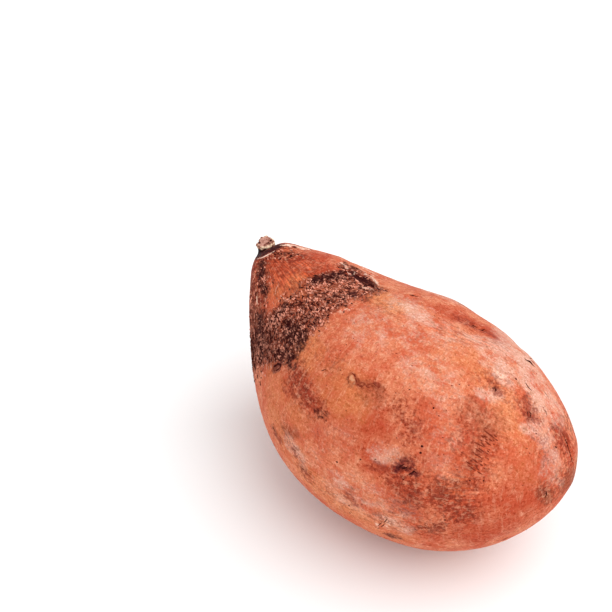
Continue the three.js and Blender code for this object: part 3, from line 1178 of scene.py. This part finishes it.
def crumb_tree(sizes, density_name=None):
    """Thin ragged crumbs or specks that lie scattered on the skin, lengthwise."""
    tree, w, given = geometry_tree("crumbs", sizes)
    seed = given["Seed"]
    place = w.out("GeometryNodeInputPosition")
    above = w.node("ShaderNodeSeparateXYZ", Vector=place).outputs["Z"]
    scatter = w.node(
        "GeometryNodeDistributePointsOnFaces",
        {"distribute_method": "POISSON"},
        Mesh=given["Skin"],
        Selection=w.math("GREATER_THAN", above, given["Floor Gap"]),
        Distance_Min=given["Distance"],
        Density_Max=given["Density"],
        Seed=seed,
    )
    if density_name:
        w.put(scatter.inputs["Density Factor"], w.named(density_name))
    long = random_value(w, given["Smallest"], given["Longest"], seed, 1)
    wide = random_value(w, given["Smallest"], given["Widest"], seed, 2)
    turn = random_value(w, -CRUMB_TURN, CRUMB_TURN, seed, 3)
    chance = random_value(w, -TONE_CHANCE, TONE_CHANCE, seed, 4)
    laid = w.out(
        "FunctionNodeAlignRotationToVector",
        {"axis": "X", "pivot_axis": "Z"},
        Rotation=scatter.outputs["Rotation"],
        Vector=w.named("lengthwise", "FLOAT_VECTOR"),
    )
    turned = w.out(
        "FunctionNodeRotateRotation",
        {"rotation_space": "LOCAL"},
        Rotation=laid,
        Rotate_By=w.out("ShaderNodeCombineXYZ", Z=turn),
    )
    placed = w.out(
        "GeometryNodeInstanceOnPoints",
        Points=scatter.outputs["Points"],
        Instance=w.out("GeometryNodeMeshIcoSphere", Radius=1.0, Subdivisions=1),
        Rotation=turned,
        Scale=w.out("ShaderNodeCombineXYZ", X=long, Y=wide, Z=given["Thickness"]),
    )
    tone = w.plus(chance, w.band(w.noise(place, TONE_CLOUD), *TONE_LIMITS))
    # The painted shade darkens the crumbs too.
    lit = w.minus(1.0, w.times(w.named("painted_shade"), TONE_SHADE))
    toned = w.out(
        "GeometryNodeStoreNamedAttribute",
        {"data_type": "FLOAT", "domain": "INSTANCE"},
        Geometry=placed,
        Name="tone",
        Value=w.times(tone, lit),
    )
    real = w.out("GeometryNodeRealizeInstances", Geometry=toned)
    chips = w.node("ShaderNodeTexNoise", Vector=place, Scale=1 / CHIP_SIZE, Detail=0.0).outputs["Color"]
    chips = w.math("SUBTRACT", chips, [CLOUD_MIDDLE] * 3, "ShaderNodeVectorMath")
    chips = w.math("MULTIPLY", chips, given["Raggedness"], "ShaderNodeVectorMath")
    close_tree(w, w.out("GeometryNodeSetPosition", Geometry=real, Offset=chips), given["Finish"])
    return tree


def strand_tree():
    """Round strands along the runs, as thick as each point of a run says."""
    tree, w, given = geometry_tree("strands", STRAND_SIZES)
    strand = w.out(
        "GeometryNodeCurveToMesh",
        Curve=w.out("GeometryNodeMeshToCurve", Mesh=given["Skin"]),
        Profile_Curve=w.out("GeometryNodeCurvePrimitiveCircle", Resolution=given["Sides"], Radius=1.0),
        Scale=w.named("thick"),
        Fill_Caps=True,
    )
    close_tree(w, strand, given["Finish"])
    return tree


def pit_tree():
    """Flat round pits at the points, as wide as each point says."""
    tree, w, given = geometry_tree("pits", PIT_SIZES)
    wide = w.named("thick")
    deep = w.times(wide, given["Thickness"])
    way = w.named("way", "FLOAT_VECTOR")
    placed = w.out(
        "GeometryNodeInstanceOnPoints",
        Points=w.out("GeometryNodeMeshToPoints", Mesh=given["Skin"]),
        Instance=w.out("GeometryNodeMeshIcoSphere", Radius=1.0, Subdivisions=2),
        Rotation=w.out("FunctionNodeAlignRotationToVector", {"axis": "Z"}, Vector=way),
        Scale=w.out("ShaderNodeCombineXYZ", X=wide, Y=wide, Z=deep),
    )
    close_tree(w, placed, given["Finish"])
    return tree


def on_root(piece):
    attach(piece, "root")


def grow(name, mesh, tree, sizes, finish):
    """Runs a tree on a mesh and keeps the pieces as a plain mesh on the root."""
    piece = add_object(name, mesh)
    growth = piece.modifiers.new("growth", "NODES")
    growth.node_group = tree
    values = {**sizes, "Finish": piece_finish(finish)}
    for item in tree.interface.items_tree:
        if item.in_out == "INPUT" and item.name in values:
            growth[item.identifier] = values[item.name]
    grown = plain_mesh(piece)
    piece.modifiers.clear()
    piece.data = grown
    on_root(piece)


def run_mesh(name, runs):
    """Open runs of points with a thickness at each point."""
    points = [point for run in runs for point, _ in run]
    edges = []
    start = 0
    for run in runs:
        edges += [(start + i, start + i + 1) for i in range(len(run) - 1)]
        start += len(run)
    mesh = bpy.data.meshes.new(name)
    mesh.from_pydata(points, edges, [])
    thick = mesh.attributes.new("thick", "FLOAT", "POINT")
    thick.data.foreach_set("value", [size for run in runs for _, size in run])
    tone = mesh.attributes.new("tone", "FLOAT", "POINT")
    tone.data.foreach_set("value", [0.5 + 0.5 * noise.noise(p / STRAND_TONE_LUMP) for p in points])
    return mesh


def strand_run(skin, half_width, pixels, sink, steps=STRAND_STEPS):
    """A run on the skin through pixels, thin at both ends. A deep run shows only its back."""
    corners = [Vector(p) for p in pixels]
    fine = [a.lerp(b, i / steps) for a, b in zip(corners[:-1], corners[1:]) for i in range(steps)]
    fine.append(corners[-1])
    run = []
    for i, pixel in enumerate(fine):
        share = math.sin(math.pi * (STRAND_START + STRAND_SWELL * i / (len(fine) - 1)))
        point, normal = skin.at_pixel(pixel)
        uneven = 1 + STRAND_UNEVENNESS * noise.noise(point / STRAND_LUMP)
        size = half_width * MM * share * uneven
        run.append((point - normal * size * sink, size * math.sqrt(1 + sink * sink)))
    return run


def strand_runs(skin, rows, sink):
    return [strand_run(skin, half_width, pixels, sink) for half_width, *pixels in rows]


def dash_runs(skin):
    """Short dashes that lie along the root, scattered over their band."""
    chance = random.Random(DASH_SEED)
    start, end = (Vector(p) for p in DASH_BAND)
    way = Vector(DASH_WAY)
    runs = []
    for row in range(DASH_ROWS):
        for column in range(DASH_COLUMNS):
            if chance.random() > DASH_SHARE:
                continue
            down = start.lerp(end, (row + DASH_ROW_CHANCE * chance.random()) / DASH_ROWS)
            middle = down + way * (column - DASH_COLUMNS / 2 + chance.random()) * DASH_STEP
            turn = Matrix.Rotation(chance.uniform(-DASH_TURN, DASH_TURN), 2)
            half = turn @ way * chance.uniform(*DASH_REACH)
            half_width = chance.uniform(*DASH_HALF_WIDTH)
            ends = [middle - half, middle + half]
            runs.append(strand_run(skin, half_width, ends, DASH_SINK, DASH_PARTS))
    return runs


def grow_strands(name, runs, finish):
    grow(name, run_mesh(name, runs), STRANDS, STRAND_SIZES, finish)


def root_skin(skin):
    """The skin of the root, with its relief and its patches."""
    mesh = skin.mesh
    raised = skin.points + skin.normals * skin.relief()[:, None]
    values = {name: skin.patch_values(name) for name in PHOTO_PATCHES}
    values["scurf"] *= 1 - values["plum_and_shade"]
    values.update(skin.stub_values())
    lean = np.array(skin.stub_lean)
    leaned = raised @ lean[:3, :3].T + lean[:3, 3]
    raised += values["stub_top"][:, None] * (leaned - raised)
    for name, places in skin.line.straighten(skin.points).items():
        mesh.attributes.new(name, "FLOAT_VECTOR", "POINT").data.foreach_set("vector", places.ravel())
    mesh.vertices.foreach_set("co", raised.ravel())
    mesh.update()
    mesh.polygons.foreach_set("use_smooth", [True] * len(mesh.polygons))
    for name, numbers in values.items():
        mesh.attributes.new(name, "FLOAT", "POINT").data.foreach_set("value", numbers)
    mesh.materials.clear()
    mesh.materials.append(skin_material())
    skin.read()
    piece = add_object("root_skin", mesh)
    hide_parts(NODE)
    on_root(piece)


def pits(skin):
    rows = [[(skin.point_at(pixel), half_width * MM)] for half_width, pixel in PITS]
    points = run_mesh("pits", rows)
    way = points.attributes.new("way", "FLOAT_VECTOR", "POINT")
    way.data.foreach_set("vector", [part for _, pixel in PITS for part in skin.at_pixel(pixel)[1]])
    grow("pits", points, pit_tree(), PIT_SIZES, "dark_pit")


def stub_rim(skin):
    """The torn pale edge of the cut face of the vine stub."""
    axis = (SPINE[0] - CUT_FACE).normalized()
    middle = skin.stub_lean @ (CUT_FACE + axis * RIM_DEPTH)
    down = (skin.stub_lean.to_3x3() @ axis).normalized()
    run = []
    for step in range(RIM_STEPS + 1):
        turn = Matrix.Rotation(math.tau * step / RIM_STEPS, 3, down)
        spoke = turn @ down.orthogonal().normalized()
        edge = skin.tree.ray_cast(middle, spoke)[0]
        lift = RIM_LIFT * (1 + RIM_UNEVENNESS * noise.noise(spoke * RIM_LIFT_LUMPS))
        size = RIM_THICKNESS * (1 + RIM_UNEVENNESS * noise.noise(spoke * RIM_THICKNESS_LUMPS))
        run.append((edge - spoke * size * RIM_INSET - down * lift, size))
    grow_strands("stub_rim", [run], "stub_rim")


# Stage.
def floor():
    mesh = bpy.data.meshes.new("floor")
    corners = [(x * FLOOR_HALF, y * FLOOR_HALF, 0) for x, y in ((-1, -1), (1, -1), (1, 1), (-1, 1))]
    mesh.from_pydata(corners, [], [(0, 1, 2, 3)])
    material = bpy.data.materials.new("pale_floor")
    material.use_nodes = True
    shader = material.node_tree.nodes["Principled BSDF"]
    shader.inputs["Base Color"].default_value = (FLOOR_GREY, FLOOR_GREY, FLOOR_GREY, 1)
    shader.inputs["Roughness"].default_value = FLOOR_ROUGHNESS
    mesh.materials.append(material)
    add_object("floor", mesh)


def soft_light(name, way, spread, strength):
    """A wide light from far off, so that the floor is lit evenly."""
    data = bpy.data.lights.new(name, "SUN")
    data.angle = math.radians(spread)
    data.energy = strength
    light = add_object(name, data)
    light.location = LOOK_AT + way.normalized()
    light.rotation_mode = "QUATERNION"
    light.rotation_quaternion = way.to_track_quat("Z", "Y")


def studio(view):
    floor()
    for name, ((right, up, back), spread, strength) in LIGHTS.items():
        way = view.right * right + Vector((0, 0, up)) + view.back * back
        soft_light(name, way, spread, strength)
    world = bpy.data.worlds.new("studio")
    world.use_nodes = True
    sky = world.node_tree.nodes["Background"]
    sky.inputs["Color"].default_value = (1, 1, 1, 1)
    sky.inputs["Strength"].default_value = SKY_STRENGTH
    bpy.context.scene.world = world
    bpy.context.scene.view_settings.view_transform = "Standard"


view = PhotoView()
view.add_camera()
studio(view)

GRAIN = grain_group()
STRANDS = strand_tree()
skin = Skin(view)
root_skin(skin)
grow("scurf_crumbs", skin.mesh.copy(), crumb_tree(CRUMB_SIZES, "scurf"), CRUMB_SIZES, "scurf_crumb")
grow("dark_specks", skin.mesh.copy(), crumb_tree(SPECK_SIZES), SPECK_SIZES, "dark_speck")
grow_strands("cracks", strand_runs(skin, CRACKS, CRACK_SINK), "open_crack")
grow_strands("dashes", dash_runs(skin) + strand_runs(skin, FURROWS, DASH_SINK), "brown_dash")
pits(skin)
grow_strands("torn_skin", strand_runs(skin, PEELS, PEEL_SINK), "torn_skin")
stub_rim(skin)
